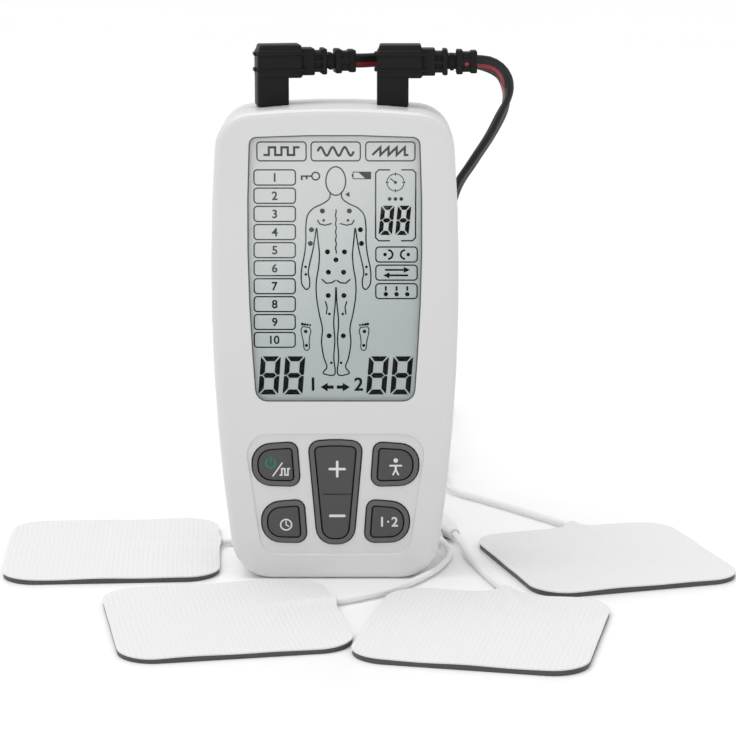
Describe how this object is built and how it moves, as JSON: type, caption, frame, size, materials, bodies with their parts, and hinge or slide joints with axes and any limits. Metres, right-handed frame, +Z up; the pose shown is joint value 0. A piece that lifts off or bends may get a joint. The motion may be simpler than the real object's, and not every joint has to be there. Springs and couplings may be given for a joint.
{
  "type": "tens unit",
  "caption": "Hand-held nerve stimulator with a tall display, dark keys and a rocker, standing with its plugged-in leads and square electrode pads around it.",
  "frame": {"origin": "middle of the unit's footprint, on the surface that it stands on", "axes": "+Z up, -Y out of the display and keys, +X to the unit's right as it is read"},
  "size_m": [0.1711, 0.2618, 0.1211],
  "materials": {
    "white_plastic": "satin white moulded ABS",
    "lens_plastic": "clear hard-coated window",
    "lcd_glass": "pale grey-green reflective display",
    "black_plastic": "matt",
    "key_rubber": "matt dark grey",
    "silicone": "matt",
    "board": "solder mask over fibreglass",
    "chip_resin": "matt",
    "ferrite": "matt ferrite",
    "cell_jacket": "printed jacket",
    "plated_metal": "nickel plated",
    "plug_plastic": "fine texture",
    "lead_vinyl": "satin vinyl",
    "white_vinyl": "satin vinyl",
    "pad_fabric": "fine woven",
    "pad_gel": "tacky gel and carbon film"
  },
  "bodies": {
    "unit": {"front_cover": "white_plastic", "back_cover": "white_plastic", "window_lens": "lens_plastic", "lcd_panel": "lcd_glass", "lcd_frame": "black_plastic", "key_bezel": "key_rubber", "keypad_mat": "silicone", "circuit_board": "board", "controller_chip": "chip_resin", "transformer_a": "ferrite", "transformer_b": "ferrite", "output_jack_a": "black_plastic", "output_jack_b": "black_plastic", "battery_1": "cell_jacket", "battery_2": "cell_jacket", "battery_3": "cell_jacket", "battery_contacts_lower": "plated_metal", "battery_contacts_upper": "plated_metal", "case_screw_left": "plated_metal", "case_screw_right": "plated_metal", "plug_tip_a": "plated_metal", "plug_tip_b": "plated_metal", "lead_plug_a": "plug_plastic", "lead_plug_b": "plug_plastic", "lead_a": "lead_vinyl", "lead_b": "lead_vinyl", "lead_coil_a": "lead_vinyl", "lead_coil_b": "lead_vinyl", "lead_yoke_a": "plug_plastic", "lead_yoke_b": "plug_plastic", "lead_leg_1": "lead_vinyl", "pin_plug_1": "plug_plastic", "pad_socket_1": "white_vinyl", "pad_wire_1": "white_vinyl", "pad_gel_1": "pad_gel", "pad_backing_1": "pad_fabric", "lead_leg_2": "lead_vinyl", "pin_plug_2": "plug_plastic", "pad_socket_2": "white_vinyl", "pad_wire_2": "white_vinyl", "pad_gel_2": "pad_gel", "pad_backing_2": "pad_fabric", "lead_leg_3": "lead_vinyl", "pin_plug_3": "plug_plastic", "pad_socket_3": "white_vinyl", "pad_wire_3": "white_vinyl", "pad_gel_3": "pad_gel", "pad_backing_3": "pad_fabric", "lead_leg_4": "lead_vinyl", "pin_plug_4": "plug_plastic", "pad_socket_4": "white_vinyl", "pad_wire_4": "white_vinyl", "pad_gel_4": "pad_gel", "pad_backing_4": "pad_fabric"},
    "power_mode_key": {"power_mode_key": "key_rubber"},
    "timer_key": {"timer_key": "key_rubber"},
    "intensity_rocker": {"intensity_rocker": "key_rubber"},
    "body_area_key": {"body_area_key": "key_rubber"},
    "channel_key": {"channel_key": "key_rubber"},
    "battery_door": {"battery_door": "white_plastic"}
  },
  "joints": [
    {"name": "power_mode_press", "type": "slide", "parent": "unit", "child": "power_mode_key", "axis": [0, 1, 0], "range_m": [0, 0.0008], "stiffness_N_per_m": 1500},
    {"name": "timer_press", "type": "slide", "parent": "unit", "child": "timer_key", "axis": [0, 1, 0], "range_m": [0, 0.0008], "stiffness_N_per_m": 1500},
    {"name": "body_area_press", "type": "slide", "parent": "unit", "child": "body_area_key", "axis": [0, 1, 0], "range_m": [0, 0.0008], "stiffness_N_per_m": 1500},
    {"name": "channel_press", "type": "slide", "parent": "unit", "child": "channel_key", "axis": [0, 1, 0], "range_m": [0, 0.0008], "stiffness_N_per_m": 1500},
    {"name": "intensity_rock", "type": "hinge", "parent": "unit", "child": "intensity_rocker", "pos_m": [0, -0.0078, 0.0202], "axis": [1, 0, 0], "range_deg": [-3, 3], "stiffness_Nm_per_rad": 0.15},
    {"name": "battery_door_swing", "type": "hinge", "parent": "unit", "child": "battery_door", "pos_m": [0, 0.01095, 0.00895], "axis": [-1, 0, 0], "range_deg": [0, 35]}
  ]
}
